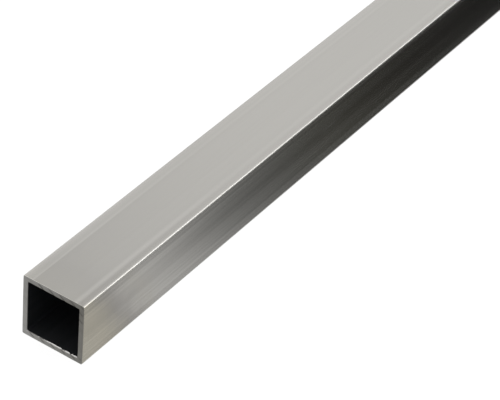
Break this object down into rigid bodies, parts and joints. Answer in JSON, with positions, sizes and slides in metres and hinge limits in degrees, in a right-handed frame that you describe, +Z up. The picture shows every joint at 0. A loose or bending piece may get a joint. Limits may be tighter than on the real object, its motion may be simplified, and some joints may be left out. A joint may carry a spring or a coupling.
{
  "type": "square metal tube",
  "caption": "Straight length of square aluminium tube with thin, even walls, nearly sharp long corners and open, square-sawn ends, for light frames and edging.",
  "frame": {"origin": "middle of the underside, on the floor that the tube lies on", "axes": "+Y along the tube, from the near end to the far end; +X across it to the right, seen from the near end; +Z up"},
  "size_m": [0.02, 1, 0.02],
  "materials": {
    "aluminium": "mill finish, fine extrusion lines along the length"
  },
  "bodies": {
    "root": {"square_tube": "aluminium"}
  },
  "joints": []
}
